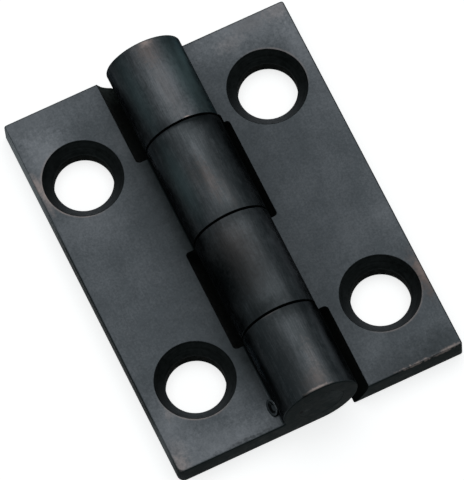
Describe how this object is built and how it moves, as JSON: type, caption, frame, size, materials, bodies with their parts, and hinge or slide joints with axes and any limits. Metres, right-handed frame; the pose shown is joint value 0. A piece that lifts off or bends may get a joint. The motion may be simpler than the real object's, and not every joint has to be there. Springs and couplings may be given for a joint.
{
  "type": "cabinet hinge",
  "caption": "Small solid-drawn butt hinge with alternating knuckles on a staked pin and countersunk screw holes, in a dark rubbed bronze finish.",
  "frame": {"origin": "middle of the open hinge on its back plane, straight below the pin", "axes": "+X across the leaves to the right leaf, +Y along the pin to its upper end as hung, +Z out of the back plane to the knuckle side"},
  "size_m": [0.019, 0.0254, 0.005],
  "materials": {
    "leaf_bronze": "solid brass with a dark oil-rubbed patina, satin, rubbed to copper on a few edges",
    "pin_bronze": "brass rod, ends finished over and darkened with the leaves"
  },
  "bodies": {
    "fixed_half": {"left_leaf": "leaf_bronze", "hinge_pin": "pin_bronze"},
    "turning_half": {"right_leaf": "leaf_bronze"}
  },
  "joints": [
    {"name": "leaf_fold", "type": "hinge", "parent": "fixed_half", "child": "turning_half", "pos_m": [0, 0, 0.0025], "axis": [0, -1, 0], "range_deg": [-76, 189]}
  ]
}
